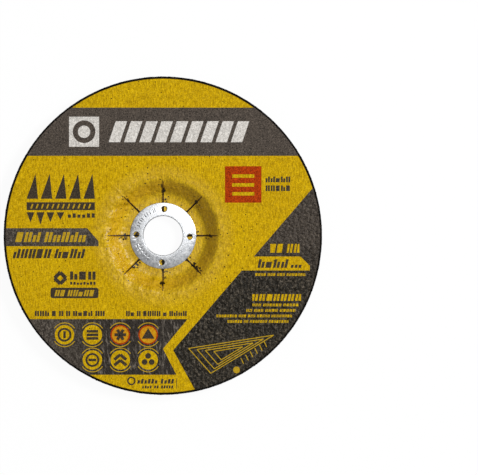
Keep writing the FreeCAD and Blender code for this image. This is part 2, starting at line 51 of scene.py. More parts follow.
RIM_PITCH = 0.36
RIM_STEPS = 1440


def select_only(*pieces):
    """Leaves these objects selected, the first one active."""
    bpy.ops.object.select_all(action="DESELECT")
    for piece in pieces:
        piece.select_set(True)
    bpy.context.view_layer.objects.active = pieces[0]


def edit(piece):
    """Edit mode on one object, with everything in it selected."""
    select_only(piece)
    bpy.ops.object.mode_set(mode="EDIT")
    bpy.ops.mesh.select_mode(type="VERT")
    bpy.ops.mesh.select_all(action="SELECT")


def leave_edit():
    """Back to object mode."""
    bpy.ops.object.mode_set(mode="OBJECT")


def turned(name, section, steps):
    """A closed section of (radius, height) points in mm, turned once round the bore's axis."""
    bpy.ops.object.select_all(action="DESELECT")
    bpy.ops.mesh.primitive_plane_add(size=MM)
    piece = bpy.context.object
    piece.name = piece.data.name = name
    edit(piece)
    bpy.ops.mesh.merge(type="CENTER")
    out, up = section[0]
    bpy.ops.transform.translate(value=(out * MM, 0, up * MM))
    for (out, up), (next_out, next_up) in zip(section, section[1:] + section[:1]):
        step = ((next_out - out) * MM, 0, (next_up - up) * MM)
        bpy.ops.mesh.extrude_vertices_move(TRANSFORM_OT_translate={"value": step})
    bpy.ops.mesh.select_all(action="SELECT")
    bpy.ops.mesh.remove_doubles(threshold=1e-7)
    leave_edit()
    turn = piece.modifiers.new("turn", "SCREW")
    turn.steps = turn.render_steps = steps
    turn.use_merge_vertices = True
    turn.merge_threshold = 1e-6
    bpy.ops.object.modifier_apply(modifier=turn.name)
    edit(piece)
    bpy.ops.mesh.remove_doubles(threshold=1e-6)
    bpy.ops.mesh.normals_make_consistent(inside=False)
    leave_edit()
    return piece


def line(start, end, pitch):
    """Points in even steps from start up to, but not including, end."""
    count = max(1, round(math.dist(start, end) / pitch))
    return [tuple(a + (b - a) * i / count for a, b in zip(start, end)) for i in range(count)]


def mark_points(piece, name, weight_of):
    """A vertex group whose weights come from a point's distance out, turn and height."""
    group = piece.vertex_groups.new(name=name)
    for vertex in piece.data.vertices:
        x, y, z = vertex.co / MM
        weight = weight_of(math.hypot(x, y), math.atan2(y, x), z)
        if weight > 0:
            group.add([vertex.index], min(weight, 1.0), "REPLACE")
    return name


def relief(piece, texture, depth, group=None, direction="Z", middle=1.0):
    """Presses a cloud pattern into a piece, up to depth in mm, and applies it."""
    select_only(piece)
    press = piece.modifiers.new("press", "DISPLACE")
    press.texture = texture
    press.texture_coords = "LOCAL"
    press.direction = direction
    press.strength = depth * MM
    press.mid_level = middle
    if group:
        press.vertex_group = group
    bpy.ops.object.modifier_apply(modifier=press.name)


def clouds(name, size, depth=2, hard=False):
    """A cloud texture whose lumps are about size mm across."""
    texture = bpy.data.textures.new(name, "CLOUDS")
    texture.noise_scale = size * MM
    texture.noise_depth = depth
    texture.noise_type = "HARD_NOISE" if hard else "SOFT_NOISE"
    return texture


def smooth(piece, angle):
    """Smooth shading over edges of up to this angle in degrees."""
    select_only(piece)
    bpy.ops.object.shade_smooth_by_angle(angle=math.radians(angle))


def screen(red, green, blue):
    """A colour as read off a screen, 0 to 255, as the shader wants it."""
    parts = []
    for value in (red, green, blue):
        value /= 255
        parts.append(value / 12.92 if value <= 0.04045 else ((value + 0.055) / 1.055) ** 2.4)
    return (*parts, 1.0)


class Finish:
    """A material under construction: one Principled shader and the patterns that feed it."""

    def __init__(self, name, roughness, metallic=0.0, gloss=0.15):
        self.material = bpy.data.materials.new(name)
        self.material.use_nodes = True
        self.nodes = self.material.node_tree.nodes
        self.links = self.material.node_tree.links
        self.shader = self.nodes["Principled BSDF"]
        self.shader.inputs["Roughness"].default_value = roughness
        self.shader.inputs["Metallic"].default_value = metallic
        self.shader.inputs["Specular IOR Level"].default_value = 0.5 if metallic else gloss
        self.place = self.nodes.new("ShaderNodeTexCoord").outputs["Object"]
        self.normal = None

    def feed(self, socket, value):
        """Sets a socket to a plain value or links another socket to it."""
        if isinstance(value, (int, float, tuple)):
            socket.default_value = value
        else:
            self.links.new(value, socket)

    def mapped(self, stretch=(1, 1, 1), turn=0.0, shift=(0, 0, 0)):
        """Object coordinates in mm, turned, moved and scaled."""
        node = self.nodes.new("ShaderNodeMapping")
        node.vector_type = "TEXTURE"
        node.inputs["Scale"].default_value = [part * MM for part in stretch]
        node.inputs["Rotation"].default_value = (0, 0, math.radians(turn))
        node.inputs["Location"].default_value = [part * MM for part in shift]
        self.links.new(self.place, node.inputs["Vector"])
        return node.outputs["Vector"]

    def noise(self, size, detail=3, rough=0.55, vector=None, **placing):
        """Soft noise with features about size mm across."""
        node = self.nodes.new("ShaderNodeTexNoise")
        node.inputs["Scale"].default_value = 1 / size
        node.inputs["Detail"].default_value = detail
        node.inputs["Roughness"].default_value = rough
        self.links.new(vector or self.mapped(**placing), node.inputs["Vector"])
        return node.outputs["Fac"]

    def cells(self, size, output="Distance"):
        """Cells about size mm across: the distance to a cell's middle, or its own colour."""
        node = self.nodes.new("ShaderNodeTexVoronoi")
        node.inputs["Scale"].default_value = 1 / size
        self.links.new(self.mapped(), node.inputs["Vector"])
        return node.outputs[output]

    def math(self, kind, *values):
        """One step of arithmetic on numbers and sockets."""
        node = self.nodes.new("ShaderNodeMath")
        node.operation = kind
        for socket, value in zip(node.inputs, values):
            self.feed(socket, value)
        return node.outputs["Value"]

    def times(self, first, *others):
        """The product of numbers and sockets."""
        for other in others:
            first = self.math("MULTIPLY", first, other)
        return first

    def ramp(self, factor, low, high, start=0.0, end=1.0, soft=False):
        """Maps factor from low..high to start..end, and stops at both ends."""
        node = self.nodes.new("ShaderNodeMapRange")
        node.interpolation_type = "SMOOTHSTEP" if soft else "LINEAR"
        for name, value in zip(("From Min", "From Max", "To Min", "To Max"), (low, high, start, end)):
            self.feed(node.inputs[name], value)
        self.links.new(factor, node.inputs["Value"])
        return node.outputs["Result"]

    def mix(self, factor, first, second, blend="MIX"):
        """Mixes two colours, each a tuple or a socket."""
        node = self.nodes.new("ShaderNodeMix")
        node.data_type = "RGBA"
        node.blend_type = blend
        for index, value in ((0, factor), (6, first), (7, second)):
            self.feed(node.inputs[index], value)
        return node.outputs[2]

    def grained(self, tone, strength, size=0.6, **placing):
        """A colour made darker and lighter by fine grain, by up to a share of itself."""
        grain = self.noise(size, 2, 0.7, **placing)
        share = self.ramp(grain, 0.3, 0.7, 1 - strength, 1 + strength)
        return self.mix(1.0, tone, share, blend="MULTIPLY")

    def split(self, vector=None):
        """The three parts of a vector or colour, or else of the place in mm."""
        node = self.nodes.new("ShaderNodeSeparateXYZ")
        self.links.new(vector or self.mapped(), node.inputs["Vector"])
        return node.outputs["X"], node.outputs["Y"], node.outputs["Z"]

    def joined(self, x, y):
        """A vector of two numbers or sockets."""
        node = self.nodes.new("ShaderNodeCombineXYZ")
        for socket, value in zip(node.inputs, (x, y)):
            self.feed(socket, value)
        return node.outputs["Vector"]

    def polar(self):
        """Distance out in mm, and turn round the bore in radians."""
        x, y, _ = self.split()
        squares = self.math("ADD", self.times(x, x), self.times(y, y))
        return self.math("SQRT", squares), self.math("ARCTAN2", y, x)

    def colour(self, value):
        self.feed(self.shader.inputs["Base Color"], value)

    def roughness(self, value):
        self.feed(self.shader.inputs["Roughness"], value)

    def gloss(self, value):
        self.feed(self.shader.inputs["Specular IOR Level"], value)

    def bump(self, height, depth):
        """Adds relief of depth mm on top of what is there."""
        node = self.nodes.new("ShaderNodeBump")
        node.inputs["Strength"].default_value = 1.0
        node.inputs["Distance"].default_value = depth * MM
        self.links.new(height, node.inputs["Height"])
        if self.normal:
            self.links.new(self.normal, node.inputs["Normal"])
        self.normal = node.outputs["Normal"]
        self.links.new(self.normal, self.shader.inputs["Normal"])

    def onto(self, piece):
        """Gives a piece this material and no other."""
        piece.data.materials.clear()
        piece.data.materials.append(self.material)


def mount(piece, slot, *nodes):
    """The piece goes with the wheel and stands for CAD nodes, which it hides. Its slot is not used."""
    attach(piece, "root")
    if nodes:
        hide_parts(*nodes)


def rim_weight(out, turn, up):
    """Weight that grows from 0 to 1 just outside the rim's start."""
    return (out - RIM_START - 0.3) / 0.6


body_section = [
    (BORE_EDGE, FLOOR_FRONT),
    (KNEE_FRONT, FLOOR_FRONT),
    (BROW_FRONT, WEB_FRONT),
    *line((RIM_START, WEB_FRONT), (WHEEL_RADIUS, WEB_FRONT), RIM_PITCH),
    *line((WHEEL_RADIUS, WEB_FRONT), (WHEEL_RADIUS, WEB_BACK), RIM_PITCH),
    *line((WHEEL_RADIUS, WEB_BACK), (RIM_START, WEB_BACK), RIM_PITCH),
    (RIM_START, WEB_BACK),
    (BROW_BACK, WEB_BACK),
    (KNEE_BACK, FLOOR_BACK),
    (BORE_EDGE, FLOOR_BACK),
]
abrasive = turned("abrasive_core", body_section, RIM_STEPS)
rim = mark_points(abrasive, "rim", rim_weight)
relief(abrasive, clouds("grain", 0.9, depth=1, hard=True), 0.4, rim, direction="NORMAL")
relief(abrasive, clouds("broken_edge", 3.5, depth=3), 0.25, rim, direction="NORMAL")
smooth(abrasive, 50)

grit = Finish("grit", 0.85, gloss=0.1)
grains = grit.cells(0.75)
tone = grit.mix(grit.ramp(grains, 0.1, 0.6), screen(26, 22, 19), screen(9, 8, 7))
grain_tone = grit.split(grit.cells(0.5, "Color"))[0]
# A few grains are painted paler, as painted glints
sparkle = grit.ramp(grain_tone, 0.93, 0.98)
grit.colour(grit.mix(sparkle, tone, screen(70, 62, 54)))
grit.bump(grit.noise(0.5, 4), 0.12)
grit.bump(grains, 0.2)
grit.onto(abrasive)
mount(abrasive, "abrasive", "abrasive_body")


# Label. Thin printed paper, glued down by the resin as the wheel is pressed, so that the grain
# underneath shows as a low relief. Eight slits let the flat sheet sink into the hub.
LABEL_RADIUS = 89.0
PAPER = 0.3
FLOOR_LEVEL = FLOOR_FRONT + PAPER
WEB_LEVEL = WEB_FRONT + PAPER
FLOOR_RADIUS = 22.515
HUB_BROW = 32.626
SLOPE = math.radians(30)
BEND = 4.0
EDGE_ROUND, EDGE_DROP = 0.15, 0.08
SAME_LEVEL = 0.002
LABEL_PITCH = 0.85
LABEL_STEPS = 720
SLIT_START, SLIT_POINT = 11.0, 30.0
SLIT_HALF = 0.6
SLIT_TALL, SLIT_LEVEL = 7.0, 6.0
EIGHTH = 45


def bend(centre, radius, start, end, count):
    """Points on an arc from one direction to another, in degrees, without its last point."""
    turns = [math.radians(start + (end - start) * i / count) for i in range(count)]
    return [(centre[0] + radius * math.cos(t), centre[1] + radius * math.sin(t)) for t in turns]


def pick(piece, test):
    """In edit mode, selects the vertices whose place in mm passes a test."""
    mesh = bmesh.from_edit_mesh(piece.data)
    for vertex in mesh.verts:
        vertex.select = bool(test(*(vertex.co / MM)))
    mesh.select_flush_mode()
    bmesh.update_edit_mesh(piece.data)


def own_copy(piece):
    """A copy of a piece with a mesh of its own."""
    copy = piece.copy()
    copy.data = piece.data.copy()
    bpy.context.scene.collection.objects.link(copy)
    return copy


def round_copies(piece, turns):
    """Copies of a piece, turned round the bore to these degrees."""
    copies = []
    for turn in turns:
        copy = own_copy(piece)
        copy.data.transform(Matrix.Rotation(math.radians(turn), 4, "Z"))
        copies.append(copy)
    return copies


def join(pieces, name="joined"):
    """Joins pieces into the first one."""
    select_only(*pieces)
    bpy.ops.object.join()
    pieces[0].name = pieces[0].data.name = name
    return pieces[0]


def cut_out(piece, tool):
    """Cuts the shape of a tool out of a piece and deletes the tool."""
    select_only(piece)
    cut = piece.modifiers.new("cut", "BOOLEAN")
    cut.operation = "DIFFERENCE"
    cut.solver = "EXACT"
    cut.object = tool
    bpy.ops.object.modifier_apply(modifier=cut.name)
    bpy.data.objects.remove(tool)


low_centre = (FLOOR_RADIUS, FLOOR_LEVEL + BEND)
high_centre = (HUB_BROW, WEB_LEVEL - BEND)
across, down = BEND * math.sin(SLOPE), BEND * math.cos(SLOPE)
slope_foot = (low_centre[0] + across, low_centre[1] - down)
slope_top = (high_centre[0] - across, high_centre[1] + down)
label_section = [
    *line((BORE_EDGE, FLOOR_LEVEL), (FLOOR_RADIUS, FLOOR_LEVEL), LABEL_PITCH),
    *bend(low_centre, BEND, -90, -60, 4),
    *line(slope_foot, slope_top, LABEL_PITCH),
    *bend(high_centre, BEND, 120, 90, 4),
    *line((HUB_BROW, WEB_LEVEL), (LABEL_RADIUS - EDGE_ROUND, WEB_LEVEL), LABEL_PITCH),
    (LABEL_RADIUS - EDGE_ROUND, WEB_LEVEL),
    (LABEL_RADIUS, WEB_LEVEL - EDGE_DROP),
    (LABEL_RADIUS, WEB_FRONT),
    (BROW_FRONT, WEB_FRONT),
    (KNEE_FRONT, FLOOR_FRONT),
    (BORE_EDGE, FLOOR_FRONT),
]
label = turned("label_sheet", label_section, LABEL_STEPS)

# A wedge for the slits, of full width at the bore and almost pointed at the other end
bpy.ops.object.select_all(action="DESELECT")
bpy.ops.mesh.primitive_cube_add(size=MM)
slit = bpy.context.object
edit(slit)
bpy.ops.transform.resize(value=(SLIT_POINT - SLIT_START, 2 * SLIT_HALF, SLIT_TALL))
slit_middle = (SLIT_START + SLIT_POINT) / 2
bpy.ops.transform.translate(value=(slit_middle * MM, 0, SLIT_LEVEL * MM))
pick(slit, lambda x, y, z: x > slit_middle)
bpy.ops.transform.resize(value=(1, 0.02, 1), center_override=(slit_middle * MM, 0, 0))
leave_edit()
cut_out(label, join(round_copies(slit, range(0, 360, EIGHTH))))
bpy.data.objects.remove(slit)


def on_top(out, turn, up):
    """Weight 1 on the face of the label, and 0 underneath and at its edge."""
    under = abs(up - WEB_FRONT) < SAME_LEVEL or abs(up - FLOOR_FRONT) < SAME_LEVEL
    return 0.0 if under or out > LABEL_RADIUS - 0.05 else 1.0


lumps = clouds("lumps", 2.6, depth=1)
swells = clouds("swells", 12, depth=1)


def press_relief(piece, group=None):
    """The relief that label and ink share: the grain's lumps and long shallow swells."""
    relief(piece, lumps, 0.05, group)
    relief(piece, swells, 0.14, group)


press_relief(label, mark_points(label, "face", on_top))
smooth(label, 40)


def slit_distance(finish, out, turn):
    """How far a point lies from the nearest slit's line, in mm."""
    eighth = math.radians(EIGHTH)
    share = finish.math("PINGPONG", finish.math("DIVIDE", turn, eighth), 0.5)
    return finish.times(share, eighth, out)


def creases(finish, out, turn):
    """Where the paper is creased beyond the slits, from 0 to 1, longest below the hub."""
    x, y, _ = finish.split()
    wobble = finish.times(finish.math("SUBTRACT", finish.noise(7, 2), 0.5), 3.0)
    away = finish.math("ABSOLUTE", finish.math("ADD", slit_distance(finish, out, turn), wobble))
    near = finish.ramp(away, 0.1, 0.7, 1.0, 0.0)
    short = finish.times(near, finish.ramp(out, 34, 52, 0.8, 0.0))
    beside = finish.math("ABSOLUTE", finish.math("ADD", x, wobble))
    below = finish.ramp(beside, 0.15, 0.6, 1.0, 0.0)
    long = finish.times(below, finish.ramp(y, -36, -30, 1.0, 0.0))
    return finish.math("MAXIMUM", short, long)


def yellow_tone(finish, streaks):
    """Ochre yellow, darker along the streaks and paler on high spots, with small dark pits."""
    cloudy = finish.ramp(finish.noise(14, 3), 0.3, 0.7)
    grain = finish.noise(1.1, 3, 0.6)
    pits = finish.ramp(finish.noise(0.9, 2, shift=(9, 4, 0)), 0.68, 0.76)
    tone = finish.mix(cloudy, screen(194, 156, 4), screen(204, 167, 6))
    tone = finish.mix(finish.ramp(streaks, 0.42, 0.7, 0, 0.9), tone, screen(150, 115, 0))
    tone = finish.mix(finish.ramp(grain, 0.5, 0.8, 0, 0.5), tone, screen(222, 188, 40))
    tone = finish.mix(finish.times(pits, 0.5), tone, screen(110, 80, 0))
    return finish.grained(tone, 0.34, shift=(3, 3, 0))


def slope_shade(finish, tone, out):
    """Painted shade: a darker, warmer tone over the middle of the slope."""
    slope_middle = 27.8
    away = finish.math("ABSOLUTE", finish.math("SUBTRACT", out, slope_middle))
    return finish.mix(finish.ramp(away, 1.5, 4.0, 0.3, 0.0), tone, screen(176, 124, 0))


def slit_burns(finish, tone, out, slit_away):
    """Frayed brown edges along the slits, and scorched paper beside them."""
    reach = SLIT_POINT + 1
    fray = finish.times(finish.math("SUBTRACT", finish.noise(1.0, 3, 0.7), 0.5), 0.55)
    edge = finish.math("ADD", finish.ramp(out, 14, reach, 0.6, 0.2), fray)
    end = finish.math("ADD", reach, finish.times(fray, 4.0))
    inside = finish.math("LESS_THAN", slit_away, edge)
    burnt = finish.times(inside, finish.math("LESS_THAN", out, end))
    beside = finish.ramp(slit_away, 0.3, 0.9, 0.5, 0.0)
    scorch = finish.times(beside, finish.ramp(out, reach - 3, reach, 1.0, 0.0))
    tone = finish.mix(scorch, tone, screen(112, 54, 6))
    return finish.mix(burnt, tone, screen(34, 12, 4))


def resin_specks(finish, tone, out, slit_away):
    """Dark specks of resin, in clumps beside the slits and scattered on the flat."""
    close = finish.ramp(slit_away, 0.6, 5.0, 1.0, 0.0)
    close = finish.times(close, finish.ramp(out, 27, 36, 1.0, 0.0))
    clumps = finish.ramp(finish.noise(4, 2), 0.54, 0.58)
    clumped = finish.math("LESS_THAN", finish.cells(1.5), finish.times(close, 0.62))
    loose = finish.math("LESS_THAN", finish.cells(3.1), finish.ramp(out, 30, 80, 0.13, 0.1))
    patches = finish.ramp(finish.noise(14, 2), 0.52, 0.54)
    specks = finish.math("MAXIMUM", finish.times(clumped, clumps), finish.times(loose, patches))
    return finish.mix(specks, tone, screen(40, 28, 6))


def hub_wrinkles(finish, out, turn):
    """Wrinkles where the paper is pressed down the slope, deepest on its left side."""
    x, y, _ = finish.split()
    leftward = finish.math("ADD", finish.times(x, -0.93), finish.times(y, -0.37))
    leftward = finish.math("DIVIDE", leftward, out)
    zone = finish.times(
        finish.ramp(out, 19, 26),
        finish.ramp(out, 33, 38, 1.0, 0.1),
        finish.ramp(leftward, -0.6, 0.9, 0.45, 1.2),
    )
    unrolled = finish.joined(finish.times(turn, 28.0), finish.math("DIVIDE", out, 2.2))
    wrinkles = finish.math("SUBTRACT", finish.noise(5.5, 2, 0.45, vector=unrolled), 0.5)
    crumple = finish.math("SUBTRACT", finish.noise(6.0, 2, 0.45), 0.5)
    finish.bump(finish.times(wrinkles, zone), 1.3)
    finish.bump(finish.times(crumple, zone), 2.4)


paper = Finish("yellow_paper", 0.45)
out, turn = paper.polar()
slit_away = slit_distance(paper, out, turn)
streaks = paper.noise(0.8, 3, 0.6, stretch=(1, 4, 1))
# Painted shade: darker, warmer paper over the middle of the hub's slope
tone = slope_shade(paper, yellow_tone(paper, streaks), out)
tone = slit_burns(paper, tone, out, slit_away)
tone = resin_specks(paper, tone, out, slit_away)
dark_edge = paper.ramp(out, LABEL_RADIUS - 0.75, LABEL_RADIUS - 0.5)
paper.colour(paper.mix(dark_edge, tone, screen(16, 13, 10)))
paper.roughness(paper.ramp(out, 30, 40, 0.36, 0.5))
paper.gloss(paper.ramp(out, 31, 41, 0.33, 0.04))
hub_wrinkles(paper, out, turn)
paper.bump(paper.ramp(out, 20.5, 34.3, soft=True), 2.8)
paper.bump(creases(paper, out, turn), 0.16)
calm = paper.ramp(out, 33, 37, 0.45, 1.0)
paper.bump(paper.times(streaks, calm), 0.3)
paper.bump(paper.times(paper.noise(0.7, 2, 0.6, shift=(0, 6, 0)), calm), 0.06)
paper.onto(label)
mount(label, "label_paper", "front_label")


# Print. Ink fields on the label, each cut into small squares so that it lies in the paper's
# relief: a dark band, a tag and two panels, with bare bars where the lines of print are.
INK = 0.05
INK_PITCH = 1.1


def squared(piece):
    """Cuts a flat piece into small squares with upright planes."""
    low = [min(v.co[i] for v in piece.data.vertices) for i in (0, 1)]
    high = [max(v.co[i] for v in piece.data.vertices) for i in (0, 1)]
    edit(piece)
    for axis, normal in enumerate(((1, 0, 0), (0, 1, 0))):
        for step in range(1, math.ceil((high[axis] - low[axis]) / (INK_PITCH * MM))):
            place = low[axis] + step * INK_PITCH * MM
            bpy.ops.mesh.select_all(action="SELECT")
            bpy.ops.mesh.bisect(plane_co=[place * part for part in normal], plane_no=normal)
    leave_edit()


def laid(piece):
    """Lays ink into the relief of the label."""
    squared(piece)
    press_relief(piece)
    smooth(piece, 40)


def from_node(name, node):
    """A copy of a CAD node, whole and clean, to be shaped further."""
    piece = bpy.data.objects.new(name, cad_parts[node].data.copy())
    piece.data.name = name
    bpy.context.scene.collection.objects.link(piece)
    edit(piece)
    bpy.ops.mesh.remove_doubles(threshold=1e-6)
    bpy.ops.mesh.select_all(action="SELECT")
    bpy.ops.mesh.dissolve_limited(angle_limit=math.radians(1))
    leave_edit()
    return piece


def dark_ink(name, base, worn, lump, scratch, fine, cell_depth, calm_above=None, folded_from=None):
    """Dark ink, mottled by the grain below it, worn pale on high spots and black in the pits.

    Lumps and the depth of cells are in mm; scratch and fine are strengths. The ink can be calmer
    above a line, or folded to the right of one.
    """
    ink = Finish(name, 0.5, gloss=0.12)
    out, turn = ink.polar()
    x, y, _ = ink.split()
    blotch = ink.noise(lump * 7, 3)
    mottle = ink.noise(lump, 3, 0.65)
    pits = ink.noise(lump * 0.75, 3, 0.7, shift=(5, 0, 0))
    scratches = ink.noise(0.75, 3, 0.6, stretch=(1, 5, 1), shift=(0, 7, 0))
    faded, black = ([part * share for part in base] for share in (0.86, 0.35))
    tone = ink.mix(ink.ramp(blotch, 0.3, 0.7), screen(*base), screen(*faded))
    tone = ink.mix(ink.ramp(mottle, 0.5, 0.7, 0, 0.8), tone, screen(*worn))
    tone = ink.mix(ink.ramp(scratches, 0.54, 0.68, 0, scratch), tone, screen(*worn))
    tone = ink.mix(ink.ramp(pits, 0.52, 0.64, 0, 0.9), tone, screen(*black))
    if calm_above is not None:
        calm = ink.ramp(y, calm_above, calm_above + 22, 0.0, 0.6)
        tone = ink.mix(calm, tone, screen(78, 70, 63))
    if folded_from is not None:
        folded = ink.ramp(x, folded_from, folded_from + 22)
        folds = ink.noise(1.3, 3, 0.6, stretch=(1, 3.5, 1), turn=8, shift=(0, 0, 3))
        tone = ink.mix(ink.times(folded, 0.85), tone, screen(40, 35, 30))
        ridges = ink.times(ink.ramp(folds, 0.53, 0.68), folded)
        tone = ink.mix(ridges, tone, screen(112, 104, 94))
        ink.bump(ink.times(folds, folded), 0.9)
    crease = creases(ink, out, turn)
    tone = ink.mix(ink.times(crease, 0.35), tone, screen(*worn))
    ink.colour(ink.grained(tone, fine, 0.55))
    ink.roughness(ink.ramp(mottle, 0.3, 0.7, 0.42, 0.62))
    ink.bump(crease, 0.12)
    ink.bump(mottle, 0.3 * lump)
    ink.bump(pits, -0.2 * lump)
    ink.bump(ink.cells(1.5 * lump), -cell_depth)
    return ink


band_ink = dark_ink(
    "band_ink", (79, 70, 62), (108, 98, 88), lump=1.0, scratch=0.2, fine=0.45, cell_depth=0.05
)
tag_tones = (70, 62, 54), (112, 104, 94)
scratched = {"lump": 1.1, "scratch": 0.7, "fine": 0.3, "cell_depth": 0.35}
tag_ink = dark_ink("tag_ink", *tag_tones, **scratched)
folded_ink = dark_ink("panel_ink", *tag_tones, **scratched, folded_from=-58)
leathery = {"lump": 1.4, "scratch": 0.45, "fine": 0.9, "cell_depth": 1.0}
leathery_ink = dark_ink("leathery_ink", (41, 37, 30), (104, 95, 82), **leathery, calm_above=-24)
for name, node, ink in (
    ("dark_band", "band_print", band_ink),
    ("side_tag", "side_tag_print", tag_ink),
    ("left_panel", "left_panel_print", folded_ink),
    ("right_panel", "right_panel_print", leathery_ink),
):
    field = from_node(name, node)
    laid(field)
    ink.onto(field)
    mount(field, "dark_ink", node)


# Small print. Dark ink on the yellow paper, and bare yellow on the dark fields: rows of short
# strokes, a row of teeth over a sill, round signs with plain figures, and a fine line figure.
ON_INK = WEB_LEVEL + INK
PRINT_RADIUS = 88.6
TEXT_MARGIN, SIGN_MARGIN = 2.5, 10.0
PLATE_TOP, PLATE_CORNER = -28, 1.3
UPPER_ROW, LOWER_ROW = -55.8, -70.0
COLUMN_PITCH = 15.7
FINE_LINE = 0.5
chance = random.Random(31)


def thicken():
    """Gives the flat shape that is being edited the thickness of the ink."""
    bpy.ops.mesh.extrude_region_move(TRANSFORM_OT_translate={"value": (0, 0, INK * MM)})
    bpy.ops.mesh.select_all(action="SELECT")
    bpy.ops.mesh.normals_make_consistent(inside=False)
    leave_edit()


# Two masters, a square stroke and a tooth with sides of 1 mm, from which the rows are stamped
bpy.ops.object.select_all(action="DESELECT")
bpy.ops.mesh.primitive_plane_add(size=MM)
stroke = bpy.context.object
edit(stroke)
bpy.ops.transform.translate(value=(0.5 * MM, 0.5 * MM, 0))
thicken()
tooth = own_copy(stroke)
edit(tooth)
pick(tooth, lambda x, y, z: y > 0.5)
bpy.ops.transform.resize(value=(0, 1, 1), center_override=(0.5 * MM, 0, 0))
bpy.ops.mesh.select_all(action="SELECT")
bpy.ops.mesh.remove_doubles(threshold=1e-7)
leave_edit()


def placed(master, right, up, corner, level):
    """A copy of a stroke or tooth whose unit sides become right and up, from a corner in mm."""
    copy = own_copy(master)
    rows = (
        (right[0], up[0], 0, corner[0] * MM),
        (right[1], up[1], 0, corner[1] * MM),
        (0, 0, 1, level * MM),
        (0, 0, 0, 1),
    )
    copy.data.transform(Matrix(rows))
    return copy


def stamped(master, left, foot, width, height, lean=0.0, level=WEB_LEVEL):
    """A stroke or tooth set to its place and size in mm; one of minus height points down."""
    copy = placed(master, (width, 0), (lean, height), (left, foot), level)
    if height < 0:
        copy.data.flip_normals()
    return copy


def bar(start, end, width, level):
    """A stroke drawn from one point to another."""
    along = Vector(end) - Vector(start)
    across = Vector((-along.y, along.x)).normalized() * width
    return placed(stroke, along, across, Vector(start) - across / 2, level)


def outline(points, width, level):
    """Bars from each point to the next, and back to the first."""
    return [bar(start, end, width, level) for start, end in zip(points, points[1:] + points[:1])]


def arm(turn, length):
    """A step of this length in mm, in a direction given in degrees."""
    turn = math.radians(turn)
    return Vector((math.cos(turn), math.sin(turn))) * length


def round_sign(radius, width=None, keep_above=None):
    """A disc of ink about the bore's axis, or a ring of it, or its part above a height."""
    bpy.ops.object.select_all(action="DESELECT")
    bpy.ops.mesh.primitive_circle_add(vertices=48, radius=radius * MM, fill_type="NGON")
    piece = bpy.context.object
    edit(piece)
    if width:
        bpy.ops.mesh.inset(thickness=width * MM)
        bpy.ops.mesh.delete(type="FACE")
        bpy.ops.mesh.select_all(action="SELECT")
    if keep_above is not None:
        bpy.ops.mesh.bisect(plane_co=(0, keep_above * MM, 0), plane_no=(0, 1, 0), clear_inner=True)
        bpy.ops.mesh.select_all(action="SELECT")
    thicken()
    return piece


def set_at(master, across, up, level=WEB_LEVEL, turn=0):
    """A copy of a sign, turned and moved to its place in mm."""
    copy = round_copies(master, [turn])[0]
    copy.data.transform(Matrix.Translation(Vector((across, up, level)) * MM))
    return copy


def inside_edge(margin, height):
    """How far out the print's edge lies at a height, less a margin."""
    return math.sqrt((PRINT_RADIUS - margin) ** 2 - height**2)


def row_cells(left, length, groups, gap):
    """Left edge and width of each figure in a row of groups, where gap is a share of a figure."""
    figures = sum(groups)
    group_gap = 3 * gap
    gaps = gap * (figures - len(groups)) + group_gap * (len(groups) - 1)
    unit = length / (figures + gaps)
    cells = []
    for group in groups:
        for _ in range(group):
            cells.append((left, unit))
            left += unit * (1 + gap)
        left += unit * (group_gap - gap)
    return cells


def stroke_row(left, foot, height, length, groups, lean=0.0, level=WEB_LEVEL):
    """A row of plain strokes in groups: some broad, some split in two."""
    broad, split = ((0, 0.9),), ((0, 0.42), (0.58, 0.42))
    strokes = []
    for start, unit in row_cells(left, length - lean, groups, 0.24):
        for along, wide in chance.choice((split, split, broad)):
            high = chance.choice((1.0, 1.0, 1.0, 0.7))
            place, width = start + along * unit, wide * unit
            strokes.append(stamped(stroke, place, foot, width, high * height, lean * high, level))
    return strokes


def fine_row(left, foot, height, length, groups, lean=0.0):
    """A row of single strokes of two heights, for the smallest lines."""
    strokes = []
    for start, unit in row_cells(left, length - lean, groups, 0.55):
        high = chance.choice((1.0, 1.0, 0.72))
        strokes.append(stamped(stroke, start, foot, unit, high * height, lean * high))
    return strokes


def gap_row(left, foot, height, length, groups, lean):
    """Dark strokes in a bare bar, which leave a row of bare strokes."""
    strokes = []
    cells = row_cells(left, length, groups, 0.3)
    for (start, unit), (after, _) in zip(cells, cells[1:] + [(None, 0)]):
        if after:
            gap = after - start - unit
            strokes.append(stamped(stroke, start + unit - lean / 2, foot, gap, height, lean))
        if chance.random() < 0.7:
            middle = start + 0.42 * unit - lean / 2
            strokes.append(stamped(stroke, middle, foot, 0.16 * unit, height, lean))
    return strokes


# The teeth, the sill and the plate stay from the CAD print. Its plain bars come out, because
# rows of strokes take their place. The plate gets round corners at its upright edges.
emblem = from_node("dark_small_print", "dark_print")
edit(emblem)
pick(emblem, lambda x, y, z: x > 50 or -14 < y < -6 or -46 < y < -42)
bpy.ops.mesh.delete(type="VERT")
bpy.ops.mesh.select_mode(type="EDGE")
bpy.ops.mesh.select_all(action="DESELECT")
mesh = bmesh.from_edit_mesh(emblem.data)
for edge in mesh.edges:
    start, end = (vertex.co / MM for vertex in edge.verts)
    edge.select = (start - end).xy.length < 0.001 and start.y < PLATE_TOP
bmesh.update_edit_mesh(emblem.data)
bpy.ops.mesh.bevel(offset=PLATE_CORNER * MM, segments=4, affect="EDGES")
leave_edit()
dark_marks = [emblem]

